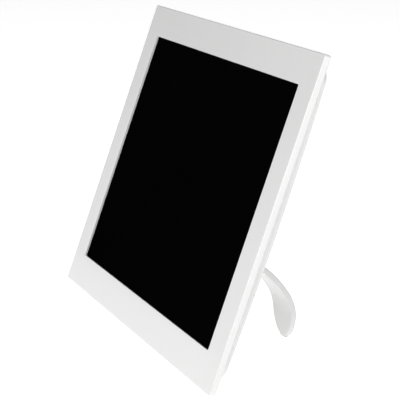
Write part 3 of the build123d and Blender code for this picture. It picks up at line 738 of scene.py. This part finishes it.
def make_heat_sink(processor):
    """A finned block on top of the processor."""
    sink = Shape()
    base = processor.back + sink_base
    sink.prism(rectangle(processor.x, processor.y, sink_size, sink_size), processor.back, base)
    for i in range(sink_fins):
        x = processor.x + (i - (sink_fins - 1) / 2) * sink_fin_pitch
        sink.prism(rectangle(x, processor.y, *sink_fin), base, base + sink_fin_height)
    sink.piece("processor_heat_sink", "ferrite", rounding=0.08 * mm)


def make_chip_details():
    """Leads and pin-one dots on the main board's packages, and the heat sink."""
    processor = area_of("processor_chip")
    memory = area_of("memory_chips")
    packages = [
        Area(memory.left, memory.right, low, low + memory_chip_height, memory.front, memory.back)
        for low in (memory.bottom, memory.top - memory_chip_height)
    ]
    leads = Shape()
    chip_leads(leads, processor, left_and_right + above_and_below, processor_margin)
    for package in packages:
        chip_leads(leads, package, left_and_right, memory_margin)
    dots = Shape()
    for package in (processor, *packages):
        rings = [
            (dot_radius, package.back), (dot_radius, package.back + dot_rise),
            (0.8 * dot_radius, package.back + 2 * dot_rise),
        ]
        dots.dome(package.right - dot_inset, package.top - dot_inset, rings, dot_sides)
    leads.piece("chip_leads", "connector_steel", finish="contact_tin")
    dots.piece("chip_pin_one_dots", "ribbon_film")
    make_heat_sink(processor)


def add_small_part(bodies, ends, x, y, surface, upright):
    """One chip resistor: a body between two tinned ends."""
    length, width, height = small_part
    end_shift = (length - small_part_end) / 2
    for shape, offset, size, step in (
        (bodies, 0, length - 2 * small_part_end, small_part_step),
        (ends, end_shift, small_part_end, 0),
        (ends, -end_shift, small_part_end, 0),
    ):
        if upright:
            outline = rectangle(x, y + offset, width, size)
        else:
            outline = rectangle(x + offset, y, size, width)
        shape.prism(outline, surface, surface + height - step)


def is_over(x, y, area, clearance):
    """Whether a place is within a clearance of an area, seen square to the face."""
    beside = area.left - clearance < x < area.right + clearance
    return beside and area.bottom - clearance < y < area.top + clearance


def make_main_board_parts():
    """Chip resistors scattered where the main board is free."""
    main_board = area_of("main_board")
    neighbours = [area_of(name) for name in (
        "processor_chip", "memory_chips", "capacitors", "power_inductor", "dc_jack", "usb_socket",
        "card_socket",
    )]
    bodies = Shape()
    ends = Shape()
    placed = []
    for _ in range(small_part_tries):
        x = random_places.uniform(main_board.left + board_edge, main_board.right - board_edge)
        y = random_places.uniform(main_board.bottom + board_edge, main_board.top - board_edge)
        upright = random_places.random() < 0.5
        near_another = any(
            math.hypot(x - other_x, y - other_y) < small_part_spacing for other_x, other_y in placed
        )
        on_a_part = any(is_over(x, y, other, small_part_spacing) for other in neighbours)
        if not near_another and not on_a_part:
            placed.append((x, y))
            add_small_part(bodies, ends, x, y, main_board.back, upright)
    bodies.piece("chip_resistor_bodies", "chip_black")
    ends.piece("chip_resistor_ends", "connector_steel", finish="contact_tin")


def make_driver_board_parts():
    """Driver chips and a row of small parts on the display's own board."""
    driver_board = area_of("lcd_driver_board")
    surface = driver_board.back
    width, height = driver_chip
    chips = Shape()
    leads = Shape()
    bodies = Shape()
    ends = Shape()
    for i in range(driver_chips):
        x = driver_board.x + driver_chip_first + i * driver_chip_pitch
        y = driver_board.y
        package = Area(
            x - width / 2, x + width / 2, y - height / 2, y + height / 2,
            surface, surface + driver_chip_rise,
        )
        chips.prism(rectangle(x, y, width, height), surface, package.back)
        chip_leads(leads, package, above_and_below, driver_chip_margin)
    for i in range(driver_parts):
        x = driver_board.right - driver_part_start - driver_part_pitch * i
        add_small_part(bodies, ends, x, driver_board.top - driver_part_inset, surface, True)
    chips.piece("driver_chips", "chip_black", rounding=0.1 * mm)
    leads.piece("driver_chip_leads", "connector_steel", finish="contact_tin")
    bodies.piece("driver_resistor_bodies", "chip_black")
    ends.piece("driver_resistor_ends", "connector_steel", finish="contact_tin")


# ---------------------------------------------------------------- speaker
surround_width = 1.8 * mm
surround_rise = 0.7 * mm
surround_thickness = 0.2 * mm
surround_inset = 0.25 * mm               # from the back of the cone to the surround's rim
surround_steps = 8
surround_sides = 72
dust_cap_radius = 4.3 * mm
dust_cap_rise = 0.6 * mm
dust_cap_steps = 6
dust_cap_sides = 36
dust_cap_arc = math.pi / 2.2             # stops short of the top, which a flat face closes
terminal = (2.4 * mm, 1.4 * mm)
terminal_thickness = 0.3 * mm
terminal_inset = 1.4 * mm
terminal_shift = 2.4 * mm                # each side of the speaker's middle


def make_surround(cone):
    """The cone's surround: a half roll round its rim."""
    radius = (cone.right - cone.left) / 2
    rim = cone.back - surround_inset
    roll = []
    for step in range(surround_steps + 1):
        part = step / surround_steps
        rise = surround_rise * math.sin(math.pi * part)
        roll.append((radius - surround_width * part, rim + rise))
    under = [(ring_radius, depth - surround_thickness) for ring_radius, depth in reversed(roll)]
    surround = Shape()
    surround.ring([
        surround.loop(circle(cone.x, cone.y, ring_radius, surround_sides), depth)
        for ring_radius, depth in roll + under
    ])
    surround.piece("speaker_surround", "speaker_paper")


def make_dust_cap(cone):
    """The domed cap on the middle of the cone."""
    rings = []
    for step in range(dust_cap_steps + 1):
        angle = step / dust_cap_steps * dust_cap_arc
        rings.append((
            dust_cap_radius * math.cos(angle), cone.back + dust_cap_rise * math.sin(angle),
        ))
    cap = Shape()
    cap.dome(cone.x, cone.y, rings, dust_cap_sides)
    cap.piece("speaker_dust_cap", "speaker_paper")


def make_speaker_details():
    """The surround and dust cap, which show through the grille, and the basket's terminals."""
    cone = area_of("speaker_cone")
    basket = area_of("speaker_basket")
    make_surround(cone)
    make_dust_cap(cone)
    terminals = Shape()
    for side in (-1, 1):
        outline = rectangle(basket.left + terminal_inset, basket.y + side * terminal_shift, *terminal)
        terminals.prism(outline, basket.front - terminal_thickness, basket.front)
    terminals.piece(
        "speaker_terminals", "connector_steel", rounding=0.04 * mm, finish="contact_gold",
    )


# ---------------------------------------------------------------- stand
mark_rise = 0.15 * mm
mark_sink = 0.3 * mm
mark_line = 0.5 * mm
pointer_inset = 4.0 * mm                 # from the hub's rim to the pointer's tip
pointer_length = 2.4 * mm
pointer_half_width = 1.4 * mm
sign_distance = 6.5 * mm                 # from the hub's rim to the middle of each sign
sign_long, sign_short = 4.4 * mm, 3.4 * mm
well_behind = 100.0 * mm


def cover_depth(x, y):
    """Depth of the rear cover's outer surface at a place on the face."""
    _, place, _, _ = nodes["rear_cover"].ray_cast(on_face(x, y, well_behind), forward)
    return (place - face_origin).dot(backward)


def make_stand_marks():
    """A raised pointer on the hub, and the wide and tall frame signs that it turns between."""
    hub = area_of("stand_hub")
    radius = (hub.right - hub.left) / 2
    tip = hub.y + radius - pointer_inset
    foot = tip - pointer_length
    outline = [(hub.x, tip), (hub.x - pointer_half_width, foot), (hub.x + pointer_half_width, foot)]
    pointer = Shape()
    pointer.prism(outline, hub.back - icon_sink, hub.back + mark_rise)
    pointer.piece("hub_pointer", "white_stand", "stand")
    signs = Shape()
    away = radius + sign_distance
    for x, y, width, height in (
        (hub.x, hub.y + away, sign_long, sign_short),
        (hub.x - away, hub.y, sign_short, sign_long),
    ):
        depth = cover_depth(x, y)
        outer = rectangle(x, y, width, height)
        inner = rectangle(x, y, width - 2 * mark_line, height - 2 * mark_line)
        signs.band(outer, inner, depth - mark_sink, depth + mark_rise)
    signs.piece("cover_turn_signs", "white_rear_shell")


make_key_icons()
make_screen_border()
make_sockets()
make_chip_details()
make_main_board_parts()
make_driver_board_parts()
make_speaker_details()
make_stand_marks()
